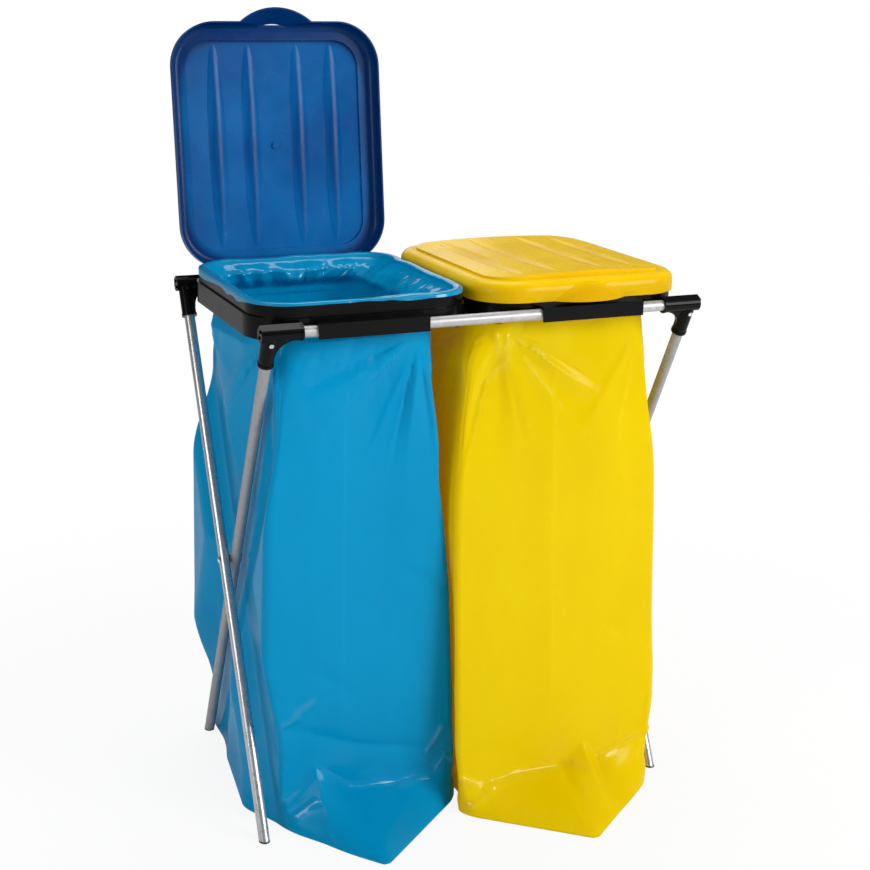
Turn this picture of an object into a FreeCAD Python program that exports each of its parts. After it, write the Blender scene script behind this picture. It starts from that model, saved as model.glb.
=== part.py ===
import FreeCAD, Part
import math
import os
import re
from types import SimpleNamespace

import Mesh
import Sketcher
from FreeCAD import Placement, Rotation, Vector

os.makedirs("parts", exist_ok=True)
doc = FreeCAD.newDocument("RecyclingSackHolder")

# Driving dimensions in millimetres and degrees, one spreadsheet cell each.
# The stand is two U frames of round tube that cross like an X and fold about the crossing.
DIMENSIONS = {
    "tube_diameter": 20,
    "tube_wall": 1.5,
    "frame_inset": 20,
    "foot_spread": 468,
    "top_height": 940,
    "leg_gap": 2,
    "press_gap": 0.05,
    "running_gap": 0.06,
    "body_gap": 0.4,
    "socket_wall": 3.5,
    "socket_reach": 56,
    "socket_drop": 65,
    "socket_overhang": 18,
    "socket_web": 9,
    "gusset_radius": 34,
    "bead_width": 5,
    "bead_rise": 1,
    "elbow_flat_width": 16,
    "elbow_flat_rise": 0.5,
    "nib_diameter": 6,
    "nib_rise": 2,
    "tube_end_gap": 12,
    "leg_end_gap": 4,
    "screw_diameter": 4,
    "screw_head_diameter": 8,
    "screw_head_height": 2.2,
    "screw_drop": 13,
    "screw_length": 9,
    "screw_slot": 1.2,
    "screw_boss_diameter": 12,
    "screw_boss_rise": 0.8,
    "foot_sole": 3,
    "foot_insert": 20,
    "rivet_diameter": 6,
    "rivet_head_diameter": 13,
    "rivet_head_height": 2.6,
    "washer_diameter": 15,
    "washer_thickness": 1,
    "fold_angle": 48,
    "swing_angle": 86,
    "sweep_gap": 1,
    "ring_width": 404,
    "ring_depth": 453,
    "ring_front_gap": 12,
    "ring_rear_gap": 19,
    "ring_corner": 80,
    "ring_wall": 3,
    "ring_drop": 18,
    "ledge_height": 20,
    "ledge_step": 4,
    "rim_height": 44,
    "rim_width": 12,
    "rim_fillet": 2,
    "saddle_length": 200,
    "saddle_wall": 3.5,
    "saddle_drop": 12,
    "panel_width": 45,
    "panel_height": 12,
    "panel_rise": 0.8,
    "hoop_length": 50,
    "hoop_wall": 4,
    "hoop_offset": 95,
    "notch_width": 22,
    "notch_height": 14,
    "pin_diameter": 4,
    "hinge_height": 22,
    "hinge_setback": 9,
    "knuckle_diameter": 10,
    "tongue_width": 116,
    "ear_width": 12,
    "ear_side_gap": 1.5,
    "lid_side_lap": 4,
    "lid_end_lap": 5.5,
    "lid_pair_gap": 4,
    "lid_height": 36,
    "lid_wall": 3,
    "lid_edge": 18,
    "lid_seat_gap": 0.3,
    "panel_inset": 30,
    "panel_step": 4,
    "crown_rise": 6,
    "flute_length": 385,
    "flute_width": 34,
    "flute_depth": 6,
    "flute_inner": 49,
    "flute_outer": 118,
    "lip_width": 142,
    "lip_reach": 26,
    "lip_height": 30,
    "gate_diameter": 14,
    "gate_height": 4,
    "lid_open_angle": 97,
    "film_thickness": 0.8,
    "film_collar": 7,
    "sack_flat_width": 830,
    "sack_base_width": 352,
    "sack_leg_reach": 165,
    "sack_left_reach": 170,
    "sack_right_reach": 222,
    "sack_left_gather": 22,
    "sack_right_gather": 27,
    "sack_shift": 36,
    "sack_corner": 14,
    "sack_floor_gap": 1,
    "left_front_bulge": 30,
    "left_rear_bulge": 45,
    "right_front_bulge": 38,
    "right_rear_bulge": 25,
    "bulge_run": 90,
    "bulge_leg_gap": 38,
    "ear_height": 130,
    "ear_tip_share": 0.15,
    "fold_depth": 7,
}

sheet = doc.addObject("Spreadsheet::Sheet", "Sizes")
for row, (alias, value) in enumerate(DIMENSIONS.items(), start=1):
    sheet.set("A%d" % row, alias)
    sheet.set("B%d" % row, str(value))
    sheet.setAlias("B%d" % row, alias)
doc.recompute()
size = SimpleNamespace(**{alias: float(sheet.get(alias)) for alias in DIMENSIONS})

SUB_PARTS = []

# Directions of a cylinder's axis.
UPRIGHT = Rotation()
ALONG_X = Rotation(Vector(0, 1, 0), 90)
ALONG_Y = Rotation(Vector(1, 0, 0), -90)


def sized(formula):
    """Turn the bare aliases of a formula into references to the spreadsheet."""
    return re.sub(r"[a-z]+(?:_[a-z]+)+", lambda found: "Sizes." + found.group(0), formula)


def bind(item, **formulas):
    for prop, formula in formulas.items():
        item.setExpression(prop, sized(formula))
    return item


def put(item, at, turn=UPRIGHT):
    """Turn a primitive and bind its position."""
    item.Placement = Placement(Vector(), turn)
    for axis, formula in zip("xyz", at):
        item.setExpression("Placement.Base." + axis, sized(formula))
    return item


def cylinder(name, radius, length, at=("0", "0", "0"), turn=UPRIGHT):
    item = doc.addObject("Part::Cylinder", name)
    return put(bind(item, Radius=radius, Height=length), at, turn)


def box(name, lengths, at):
    item = doc.addObject("Part::Box", name)
    return put(bind(item, Length=lengths[0], Width=lengths[1], Height=lengths[2]), at)


def fuse(name, pieces):
    item = doc.addObject("Part::MultiFuse", name)
    item.Shapes = pieces
    item.Refine = True
    return item


def cut(name, base, tools):
    """Take one tool, or several joined, away from a base."""
    item = doc.addObject("Part::Cut", name)
    item.Base = base
    item.Tool = tools[0] if len(tools) == 1 else fuse(name + "_tools", tools)
    return item


def common(name, pieces):
    item = doc.addObject("Part::MultiCommon", name)
    item.Shapes = pieces
    return item


def finish(item, label, placement):
    item.Label = label
    doc.recompute()
    item.Placement = placement
    SUB_PARTS.append(item)


# The lids lap over the rings, the rings stand side by side and the frames span both rings.
LID_WIDTH = "(ring_width + 2 * lid_side_lap)"
LID_DEPTH = "(ring_depth + 2 * lid_end_lap)"
LID_CORNER = "(ring_corner + lid_side_lap)"
RING_PITCH = "(%s + lid_pair_gap)" % LID_WIDTH
FRAME_WIDTH = "(%s + ring_width - frame_inset)" % RING_PITCH

TOP_SPREAD = "(ring_depth + ring_front_gap + ring_rear_gap)"

# The places that several pieces share.
top_spread = size.ring_depth + size.ring_front_gap + size.ring_rear_gap
half_spread = (top_spread + size.foot_spread) / 2
ring_offset = size.ring_width / 2 + size.lid_side_lap + size.lid_pair_gap / 2
half_width = ring_offset + (size.ring_width - size.frame_inset) / 2
leg_offset = (size.tube_diameter + size.leg_gap) / 2
lean = math.degrees(math.atan2(half_spread, size.top_height))
leg_length = math.hypot(half_spread, size.top_height)
crossing_height = size.top_height * size.foot_spread / (2 * half_spread)

# Each frame by its sideways shift, the side of its top tube and the lean of its legs.
FRAMES = {"front": (leg_offset, -1, lean), "rear": (-leg_offset, 1, -lean)}
SIDES = {"left": -1, "right": 1}


def corner_place(frame, side):
    """The corner of a U frame: the leg runs down its -Z, the top tube along its +X."""
    shift, end, tilt = FRAMES[frame]
    base = Vector(SIDES[side] * half_width + shift, end * top_spread / 2, size.top_height)
    turn = Rotation(Vector(1, 0, 0), tilt)
    if side == "right":
        turn = turn * Rotation(Vector(0, 0, 1), 180)
    return Placement(base, turn)


def outward(frame, side):
    """The side of the corner's own Y axis that faces away from the stand."""
    return FRAMES[frame][1] * (1 if side == "left" else -1)


def top_tube(frame):
    """A straight tube between the two elbows, held in their sockets."""
    name = frame + "_tube"
    length = FRAME_WIDTH + " - 2 * tube_end_gap"
    wall = cylinder(name + "_wall", "tube_diameter / 2", length, turn=ALONG_X)
    bore = cylinder(name + "_bore", "tube_diameter / 2 - tube_wall", length, turn=ALONG_X)
    shift, end, tilt = FRAMES[frame]
    start = shift - half_width + size.tube_end_gap
    place = Placement(Vector(start, end * top_spread / 2, size.top_height), UPRIGHT)
    finish(cut(name, wall, [bore]), name, place)


def level_block(name, frame, side, low, height):
    """A block with level faces round a foot, in its corner's own frame."""
    item = bind(doc.addObject("Part::Box", name), Length="4 * tube_diameter",
                Width="4 * tube_diameter", Height=height)
    place = corner_place(frame, side)
    reach = 2 * size.tube_diameter
    point = place.multVec(Vector(0, 0, -leg_length)) + Vector(-reach, -reach, low)
    item.Placement = place.inverse() * Placement(point, UPRIGHT)
    return item


LEG_RUN = "sqrt(((%s + foot_spread) / 2) ^ 2 + top_height ^ 2)" % TOP_SPREAD


def leg(frame, side):
    """A straight tube with a rivet hole, a screw hole and a foot end cut level with the floor."""
    name = "%s_leg_%s" % (frame, side)
    length = LEG_RUN + " - leg_end_gap + tube_diameter"
    low = ("0", "0", "-%s - tube_diameter" % LEG_RUN)
    wall = cylinder(name + "_wall", "tube_diameter / 2", length, low)
    bore = cylinder(name + "_bore", "tube_diameter / 2 - tube_wall", length, low)
    ground = level_block(name + "_ground", frame, side, -2 * size.tube_diameter,
                         "2 * tube_diameter + foot_sole")
    drop = "-%s * %s / (%s + foot_spread)" % (LEG_RUN, TOP_SPREAD, TOP_SPREAD)
    rivet_hole = cylinder(name + "_rivet_hole", "rivet_diameter / 2 + running_gap",
                          "2 * tube_diameter", ("-tube_diameter", "0", drop), ALONG_X)
    facing = outward(frame, side)
    screw_hole = cylinder(name + "_screw_hole", "screw_diameter / 2 + press_gap", "tube_diameter / 2",
                          ("0", "0" if facing > 0 else "-tube_diameter / 2", "-screw_drop"), ALONG_Y)
    finish(cut(name, wall, [bore, ground, rivet_hole, screw_hole]), name, corner_place(frame, side))


def elbow(frame, side):
    """A moulded corner: two sockets at right angles with a gusset, beads and a flat top."""
    name = "%s_elbow_%s" % (frame, side)
    radius = "(tube_diameter / 2 + socket_wall)"
    bead = radius + " + bead_rise"
    arm = cylinder(name + "_arm", radius, "socket_overhang + socket_reach",
                   ("-socket_overhang", "0", "0"), ALONG_X)
    stem = cylinder(name + "_stem", radius, "socket_drop", ("0", "0", "-socket_drop"))
    arm_bead = cylinder(name + "_arm_bead", bead, "bead_width",
                        ("socket_reach - bead_width", "0", "0"), ALONG_X)
    stem_bead = cylinder(name + "_stem_bead", bead, "bead_width", ("0", "0", "-socket_drop"))
    flat = box(name + "_flat",
               ("socket_overhang + socket_reach", "elbow_flat_width", radius + " + elbow_flat_rise"),
               ("-socket_overhang", "-elbow_flat_width / 2", "0"))
    web = box(name + "_web",
              (radius + " + gusset_radius", "socket_web", radius + " + gusset_radius"),
              ("0", "-socket_web / 2", "-%s - gusset_radius" % radius))
    hollow = cylinder(name + "_hollow", "gusset_radius", "2 * socket_web",
                      (radius + " + gusset_radius", "-socket_web", "-%s - gusset_radius" % radius),
                      ALONG_Y)
    gusset = cut(name + "_gusset", web, [hollow])
    boss = cylinder(name + "_boss", "screw_boss_diameter / 2", "2 * (%s + screw_boss_rise)" % radius,
                    ("0", "-%s - screw_boss_rise" % radius, "-screw_drop"), ALONG_Y)
    nibs = [cylinder("%s_nib_%d" % (name, count), "nib_diameter / 2", "nib_rise + socket_wall",
                     ("-socket_overhang - nib_rise", "0", level), ALONG_X)
            for count, level in enumerate(("nib_diameter", "-nib_diameter"))]
    solid = fuse(name + "_solid", [arm, stem, arm_bead, stem_bead, flat, gusset, boss] + nibs)
    snug = "tube_diameter / 2 + press_gap"
    arm_bore = cylinder(name + "_arm_bore", snug, "socket_reach",
                        ("tube_end_gap - 1", "0", "0"), ALONG_X)
    stem_bore = cylinder(name + "_stem_bore", snug, "socket_drop",
                         ("0", "0", "-socket_drop - leg_end_gap + 1"))
    screw_hole = cylinder(name + "_screw_hole", "screw_diameter / 2 + press_gap",
                          "4 * " + radius, ("0", "-2 * " + radius, "-screw_drop"), ALONG_Y)
    finish(cut(name, solid, [arm_bore, stem_bore, screw_hole]), name, corner_place(frame, side))


def elbow_screw(frame, side):
    """A pan head screw that holds the leg in its elbow, with a cross slot."""
    name = "%s_elbow_screw_%s" % (frame, side)
    seat = "tube_diameter / 2 + socket_wall + screw_boss_rise"
    shank = cylinder(name + "_shank", "screw_diameter / 2", "screw_length",
                     ("0", seat + " - screw_length", "0"), ALONG_Y)
    head = cylinder(name + "_head", "screw_head_diameter / 2", "screw_head_height",
                    ("0", seat, "0"), ALONG_Y)
    slots = [box("%s_slot_%d" % (name, count), lengths,
                 ("-(%s) / 2" % lengths[0], seat + " + screw_head_height / 2", "-(%s) / 2" % lengths[2]))
             for count, lengths in enumerate((
                 ("screw_slot", "screw_head_height", "screw_head_diameter * 0.7"),
                 ("screw_head_diameter * 0.7", "screw_head_height", "screw_slot")))]
    screw = cut(name, fuse(name + "_solid", [shank, head]), slots)
    turn = UPRIGHT if outward(frame, side) > 0 else Rotation(Vector(0, 0, 1), 180)
    place = corner_place(frame, side) * Placement(Vector(0, 0, -size.screw_drop), turn)
    finish(screw, name, place)


def foot(frame, side):
    """A plug with a thin sole level with the floor and an insert pressed into the tube."""
    name = "%s_foot_%s" % (frame, side)
    low = ("0", "0", "-%s - tube_diameter" % LEG_RUN)
    rod = cylinder(name + "_rod", "tube_diameter / 2", "2 * tube_diameter", low)
    sole = common(name + "_sole", [rod, level_block(name + "_slice", frame, side, 0, "foot_sole")])
    insert = cylinder(name + "_insert", "tube_diameter / 2 - tube_wall - press_gap",
                      "tube_diameter + foot_insert", low)
    ground = level_block(name + "_ground", frame, side, -2 * size.tube_diameter,
                         "2 * tube_diameter + foot_sole / 2")
    plug = cut(name + "_plug", insert, [ground])
    finish(fuse(name, [sole, plug]), name, corner_place(frame, side))


def pivot_place(side):
    """The middle of a crossing, with +X pointing away from the stand."""
    turn = UPRIGHT if side == "right" else Rotation(Vector(0, 0, 1), 180)
    return Placement(Vector(SIDES[side] * half_width, 0, crossing_height), turn)


def pivot(side):
    """The rivet through both legs, the spacer between them and the washer under its tail."""
    name = "pivot_rivet_" + side
    face = "(leg_gap / 2 + tube_diameter + running_gap)"
    dome = "((rivet_head_diameter ^ 2 / 4 + rivet_head_height ^ 2) / (2 * rivet_head_height))"
    pieces = [cylinder(name + "_shank", "rivet_diameter / 2", "2 * %s + washer_thickness" % face,
                       ("-%s - washer_thickness" % face, "0", "0"), ALONG_X)]
    for end, start, middle in (
            ("head", face, "%s + rivet_head_height - %s" % (face, dome)),
            ("tail", "-%s - washer_thickness - rivet_head_height" % face,
             "%s - %s - washer_thickness - rivet_head_height" % (dome, face))):
        disc = cylinder("%s_%s_disc" % (name, end), "rivet_head_diameter / 2", "rivet_head_height",
                        (start, "0", "0"), ALONG_X)
        ball = put(bind(doc.addObject("Part::Sphere", "%s_%s_ball" % (name, end)), Radius=dome),
                   (middle, "0", "0"))
        pieces.append(common("%s_%s" % (name, end), [disc, ball]))
    finish(fuse(name, pieces), name, pivot_place(side))

    for kind, thickness, start in (
            ("spacer", "leg_gap - 2 * running_gap", "running_gap - leg_gap / 2"),
            ("washer", "washer_thickness", "-%s - washer_thickness" % face)):
        name = "pivot_%s_%s" % (kind, side)
        disc = cylinder(name + "_disc", "washer_diameter / 2", thickness, (start, "0", "0"), ALONG_X)
        hole = cylinder(name + "_hole", "rivet_diameter / 2 + running_gap", thickness,
                        (start, "0", "0"), ALONG_X)
        finish(cut(name, disc, [hole]), name, pivot_place(side))


def rounded_outline(sketch, name, width, depth, corner):
    """Draw a rectangle with round corners about the sketch's origin."""
    first = sketch.GeometryCount
    half, radius = 200.0, 60.0
    flat = half - radius
    ends = [((-flat, -half), (flat, -half)), ((half, -flat), (half, flat)),
            ((flat, half), (-flat, half)), ((-half, flat), (-half, -flat))]
    for start, end in ends:
        sketch.addGeometry(Part.LineSegment(Vector(*start, 0), Vector(*end, 0)))
    for turn, (x, y) in enumerate(((flat, -flat), (flat, flat), (-flat, flat), (-flat, -flat))):
        circle = Part.Circle(Vector(x, y, 0), Vector(0, 0, 1), radius)
        begin = math.radians(90 * turn - 90)
        sketch.addGeometry(Part.ArcOfCircle(circle, begin, begin + math.pi / 2))
    for turn in range(4):
        line, arc, following = first + turn, first + 4 + turn, first + (turn + 1) % 4
        sketch.addConstraint(Sketcher.Constraint("Tangent", line, 2, arc, 1))
        sketch.addConstraint(Sketcher.Constraint("Tangent", arc, 2, following, 1))
        sketch.addConstraint(Sketcher.Constraint("Vertical" if turn % 2 else "Horizontal", line))
        if turn:
            sketch.addConstraint(Sketcher.Constraint("Equal", first + 4, arc))
    sketch.addConstraint(Sketcher.Constraint("Symmetric", first, 1, first + 2, 1, -1, 1))
    for label, formula, constraint in (
            ("width", width, Sketcher.Constraint("DistanceX", first + 3, 1, first + 1, 1, 2 * half)),
            ("depth", depth, Sketcher.Constraint("DistanceY", first, 1, first + 2, 1, 2 * half)),
            ("corner", corner, Sketcher.Constraint("Radius", first + 4, radius))):
        index = sketch.addConstraint(constraint)
        sketch.renameConstraint(index, name + label)
        sketch.setExpression("Constraints." + name + label, sized(formula))


def level_sketch(body, name, level, outlines):
    """A sketch at a height, with one or more outlines of (width, depth, corner)."""
    sketch = body.newObject("Sketcher::SketchObject", name)
    plane = next(item for item in body.Origin.OriginFeatures if item.Role == "XY_Plane")
    sketch.AttachmentSupport = [(plane, "")]
    sketch.MapMode = "FlatFace"
    sketch.setExpression("AttachmentOffset.Base.z", sized(level))
    for count, outline in enumerate(outlines):
        rounded_outline(sketch, "loop%s_" % "abc"[count], *outline)
    return sketch


def pad(body, name, level, outlines, height):
    item = body.newObject("PartDesign::Pad", name)
    item.Profile = level_sketch(body, name + "_sketch", level, outlines)
    bind(item, Length=height)
    doc.recompute()
    return item


def pocket(body, name, level, outlines, depth):
    """Cut downwards from a level."""
    item = body.newObject("PartDesign::Pocket", name)
    item.Profile = level_sketch(body, name + "_sketch", level, outlines)
    bind(item, Length=depth)
    before = body.Shape.Volume
    doc.recompute()
    if body.Shape.Volume >= before:
        raise ValueError(name + " cuts nothing")
    return item


def fillet_level(body, name, level, radius):
    """Round every edge that lies flat at one level."""
    base = body.Tip
    edges = ["Edge%d" % count for count, edge in enumerate(base.Shape.Edges, start=1)
             if abs(edge.BoundBox.ZMin - level) < 0.01 and abs(edge.BoundBox.ZMax - level) < 0.01]
    item = body.newObject("PartDesign::Fillet", name)
    item.Base = (base, edges)
    bind(item, Radius=radius)
    doc.recompute()
    return item


RIM_WIDTH = "(ring_width - 2 * ledge_step)"
RIM_DEPTH = "(ring_depth - 2 * ledge_step)"
RIM_CORNER = "(ring_corner - ledge_step)"
FRONT_AXIS = "(ring_depth / 2 + ring_front_gap)"
REAR_AXIS = "(ring_depth / 2 + ring_rear_gap)"
HINGE_BACK = "(ring_depth / 2 + hinge_setback)"
SWEEP = "(4 * tube_diameter)"


def ring_place(side):
    """The ring's own frame: its middle, level with the axes of the top tubes."""
    middle = (size.ring_front_gap - size.ring_rear_gap) / 2
    return Placement(Vector(SIDES[side] * ring_offset, middle, size.top_height), UPRIGHT)


def sweep_slot(name, reach, start, length, rise):
    """The space that the front tube passes through as the ring lifts off it."""
    ratio = size.swing_angle / size.fold_angle
    slope = math.degrees(math.atan2(size.top_height - crossing_height,
                                    (ratio - 0.5) * top_spread))
    item = bind(doc.addObject("Part::Box", name), Length=length, Width="2 * (%s)" % reach,
                Height="%s + %s" % (SWEEP, rise))
    turn = Rotation(Vector(1, 0, 0), slope)
    doc.recompute()
    half = item.Width.Value / 2
    corner = turn.multVec(Vector(0, -half, -4 * size.tube_diameter))
    axis = -size.ring_depth / 2 - size.ring_front_gap
    item.Placement = Placement(corner + Vector(start, axis, 0), turn)
    return item


def ring(side):
    """The moulded frame: a channel under its rim, a front saddle, rear sleeves and hinge ears."""
    name = "ring_" + side
    body = doc.addObject("PartDesign::Body", name + "_frame")
    tall = "(ring_drop + rim_height)"
    pad(body, name + "_skirt", "-ring_drop", [("ring_width", "ring_depth", "ring_corner")],
        "ring_drop + ledge_height")
    pad(body, name + "_rim", "-ring_drop", [(RIM_WIDTH, RIM_DEPTH, RIM_CORNER)], tall)
    fillet_level(body, name + "_rim_edge", size.rim_height, "rim_fillet")
    pocket(body, name + "_underside", "ledge_height - ring_wall",
           [("ring_width - 2 * ring_wall", "ring_depth - 2 * ring_wall", "ring_corner - ring_wall")],
           tall)
    thin = (RIM_WIDTH + " - 2 * ring_wall", RIM_DEPTH + " - 2 * ring_wall",
            RIM_CORNER + " - ring_wall")
    thick = (RIM_WIDTH + " - 2 * rim_width + 2 * ring_wall",
             RIM_DEPTH + " - 2 * rim_width + 2 * ring_wall",
             RIM_CORNER + " - rim_width + ring_wall")
    pocket(body, name + "_channel", "rim_height - ring_wall", [thin, thick], tall)
    pocket(body, name + "_mouth", "rim_height",
           [(RIM_WIDTH + " - 2 * rim_width", RIM_DEPTH + " - 2 * rim_width",
             RIM_CORNER + " - rim_width")], tall)

    seat = "(tube_diameter / 2 + body_gap)"
    flange = "(%s + %s + saddle_wall)" % (FRONT_AXIS, seat)
    pieces = [
        body,
        box(name + "_saddle_block",
            ("saddle_length", flange + " - ring_depth / 2 + ring_wall",
             seat + " + saddle_wall + saddle_drop"),
            ("-saddle_length / 2", "-" + flange, "-saddle_drop")),
        box(name + "_panel", ("panel_width", "panel_rise + ring_wall", "panel_height"),
            ("-panel_width / 2", "-ring_depth / 2 - panel_rise", "ledge_height - panel_height"))]
    sleeve = "(tube_diameter / 2 + hoop_wall)"
    arm = "(hinge_setback + ledge_step + ring_wall / 2)"
    for count, (hoop, ear) in enumerate((
            ("-hoop_offset - hoop_length / 2", "-tongue_width / 2 - ear_side_gap - ear_width"),
            ("hoop_offset - hoop_length / 2", "tongue_width / 2 + ear_side_gap"))):
        pieces += [
            cylinder("%s_hoop_%d" % (name, count), sleeve, "hoop_length",
                     (hoop, REAR_AXIS, "0"), ALONG_X),
            box("%s_hoop_web_%d" % (name, count),
                ("hoop_length", "%s - ring_depth / 2 + ring_wall" % REAR_AXIS, "1.3 * " + sleeve),
                (hoop, "ring_depth / 2 - ring_wall", "-0.65 * " + sleeve)),
            cylinder("%s_ear_%d" % (name, count), "knuckle_diameter / 2", "ear_width",
                     (ear, HINGE_BACK, "hinge_height"), ALONG_X),
            box("%s_ear_arm_%d" % (name, count), ("ear_width", arm, "knuckle_diameter"),
                (ear, "%s - %s" % (HINGE_BACK, arm), "hinge_height - knuckle_diameter / 2"))]

    left_end = -size.ring_width / 2
    mouth = half_width - size.socket_reach - ring_offset - 2 * size.sweep_gap
    elbow_start = mouth + leg_offset if side == "right" else left_end
    elbow_length = "ring_width / 2 + %s / 2 + socket_reach - %s / 2 + 2 * sweep_gap"
    elbow_length %= (RING_PITCH, FRAME_WIDTH)
    shift = "(tube_diameter + leg_gap) / 2"
    elbow_length += " %s %s" % ("-" if side == "right" else "+", shift)
    bead = "tube_diameter / 2 + socket_wall + bead_rise + sweep_gap"
    tools = [
        cylinder(name + "_saddle_seat", seat, "ring_width",
                 ("-ring_width / 2", "-" + FRONT_AXIS, "0"), ALONG_X),
        box(name + "_saddle_under",
            ("saddle_length", flange + " - saddle_wall - ring_depth / 2 + 2 * ring_wall",
             "2 * saddle_drop"),
            ("-saddle_length / 2", "-%s + saddle_wall" % flange, "-2 * saddle_drop")),
        sweep_slot(name + "_tube_sweep", "tube_diameter / 2 + sweep_gap", left_end, "ring_width", "0"),
        sweep_slot(name + "_elbow_sweep", bead, elbow_start, elbow_length, "4 * sweep_gap"),
        cylinder(name + "_tube_bore", "tube_diameter / 2 + running_gap", "ring_width",
                 ("-ring_width / 2", REAR_AXIS, "0"), ALONG_X),
        cylinder(name + "_pin_bore", "pin_diameter / 2 + press_gap", "ring_width",
                 ("-ring_width / 2", HINGE_BACK, "hinge_height"), ALONG_X)]
    finish(cut(name, fuse(name + "_solid", pieces), tools), name, ring_place(side))


def lid_pin(side):
    """A plain steel rod pressed through the ring's ears."""
    name = "lid_pin_" + side
    rod = bind(doc.addObject("Part::Cylinder", name), Radius="pin_diameter / 2",
               Height="tongue_width + 2 * ear_side_gap + 2 * ear_width")
    half = size.tongue_width / 2 + size.ear_side_gap + size.ear_width
    start = Vector(-half, size.ring_depth / 2 + size.hinge_setback, size.hinge_height)
    finish(rod, name, ring_place(side) * Placement(start, ALONG_X))


LID_TOP = "(lid_height + panel_step + crown_rise)"
CROWN_CHORD = "(%s / 2 - panel_inset)" % LID_WIDTH
CROWN_RADIUS = "((%s ^ 2 + crown_rise ^ 2) / (2 * crown_rise))" % CROWN_CHORD
LIP_RADIUS = "((lip_width ^ 2 / 4 + lip_reach ^ 2) / (2 * lip_reach))"
FLUTE_RADIUS = "((flute_width ^ 2 / 4 + flute_depth ^ 2) / (2 * flute_depth))"
FLUTE_SWEEP = "(flute_length ^ 2 / (8 * flute_depth))"


def lid_form(name, inset):
    """The lid's outer form, or its hollow when it is set in by the wall."""
    body = doc.addObject("PartDesign::Body", name + "_body")
    twice = " - 2 * " + inset
    pad(body, name + "_shoulder", "0",
        [(LID_WIDTH + twice, LID_DEPTH + twice, LID_CORNER + " - " + inset)],
        "lid_height - " + inset)
    level = size.lid_height - (size.lid_wall if inset == "lid_wall" else 0)
    fillet_level(body, name + "_edge", level, "lid_edge - " + inset)
    pad(body, name + "_panel", "0",
        [(LID_WIDTH + " - 2 * panel_inset" + twice, LID_DEPTH + " - 2 * panel_inset" + twice,
          LID_CORNER + " - panel_inset - " + inset)], LID_TOP)
    crown = cylinder(name + "_crown", CROWN_RADIUS + " - " + inset, "2 * " + LID_DEPTH,
                     ("0", "-" + LID_DEPTH, LID_TOP + " - " + CROWN_RADIUS), ALONG_Y)
    crowned = doc.addObject("Part::MultiCommon", name + "_crowned")
    crowned.Shapes = [body, crown]
    lip = doc.addObject("Part::Cone", name + "_lip")
    bind(lip, Radius1=LIP_RADIUS + " - " + inset, Radius2=LIP_RADIUS + " - lip_reach - " + inset,
         Height="lip_height")
    put(lip, ("0", "%s - %s / 2 - lip_reach" % (LIP_RADIUS, LID_DEPTH), "0"))
    flutes = []
    for count, offset in enumerate(("-flute_outer", "-flute_inner", "flute_inner", "flute_outer")):
        flute = doc.addObject("Part::Torus", "%s_flute_%d" % (name, count))
        bind(flute, Radius1=FLUTE_SWEEP, Radius2=FLUTE_RADIUS + " + " + inset)
        surface = "%s - %s + sqrt(%s ^ 2 - (%s) ^ 2)" % (LID_TOP, CROWN_RADIUS, CROWN_RADIUS, offset)
        height = "%s - flute_depth + %s + %s" % (surface, FLUTE_RADIUS, FLUTE_SWEEP)
        flutes.append(put(flute, (offset, "0", height), ALONG_X))
    return cut(name, fuse(name + "_joined", [crowned, lip]), flutes)


def lid(side):
    """A crowned lid with four flutes, a thumb lip and a hinge tongue between two notches."""
    name = "lid_" + side
    shell = cut(name + "_shell", lid_form(name + "_outer", "0 * lid_wall"),
                [lid_form(name + "_hollow", "lid_wall")])
    pin_level = "(hinge_height - ledge_height - lid_seat_gap)"
    back = "(%s / 2 - lid_wall / 2)" % LID_DEPTH
    tongue = "%s - %s" % (HINGE_BACK, back)
    pieces = [
        shell,
        cylinder(name + "_gate", "gate_diameter / 2", "gate_height + lid_wall / 2",
                 ("0", "0", LID_TOP + " - lid_wall - gate_height")),
        cylinder(name + "_barrel", "knuckle_diameter / 2", "tongue_width",
                 ("-tongue_width / 2", HINGE_BACK, pin_level), ALONG_X),
        box(name + "_web", ("tongue_width", tongue, "0.7 * knuckle_diameter"),
            ("-tongue_width / 2", back, pin_level + " - 0.3 * knuckle_diameter"))]
    tools = [
        cylinder(name + "_pin_bore", "pin_diameter / 2 + running_gap", "2 * tongue_width",
                 ("-tongue_width", HINGE_BACK, pin_level), ALONG_X)]
    for count, start in enumerate(("tongue_width / 2", "-tongue_width / 2 - notch_width")):
        tools.append(box("%s_notch_%d" % (name, count), ("notch_width", "4 * lid_wall", "2 * notch_height"),
                         (start, back + " - 1.5 * lid_wall", "-notch_height")))
    place = ring_place(side) * Placement(Vector(0, 0, size.ledge_height + size.lid_seat_gap), UPRIGHT)
    if side == "left":
        pin = ring_place(side).multVec(
            Vector(0, size.ring_depth / 2 + size.hinge_setback, size.hinge_height))
        place = Placement(Vector(), Rotation(Vector(1, 0, 0), -size.lid_open_angle), pin) * place
    finish(cut(name, fuse(name + "_solid", pieces), tools), name, place)


ARC_STEPS = 6
SIDE_STEPS = 7
SACK_SHARES = (0.12, 0.25, 0.38, 0.51, 0.64, 0.76, 0.86, 0.94)


def clear_of_legs(y, level):
    """A share that rises from 0 beside the crossed legs to 1 well clear of them."""
    spread = (level - crossing_height) * math.tan(math.radians(lean))
    room = min(abs(y - spread), abs(y + spread)) * math.cos(math.radians(lean)) - size.bulge_leg_gap
    share = min(1.0, max(0.0, room / size.bulge_run))
    return share * share * (3 - 2 * share)


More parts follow.
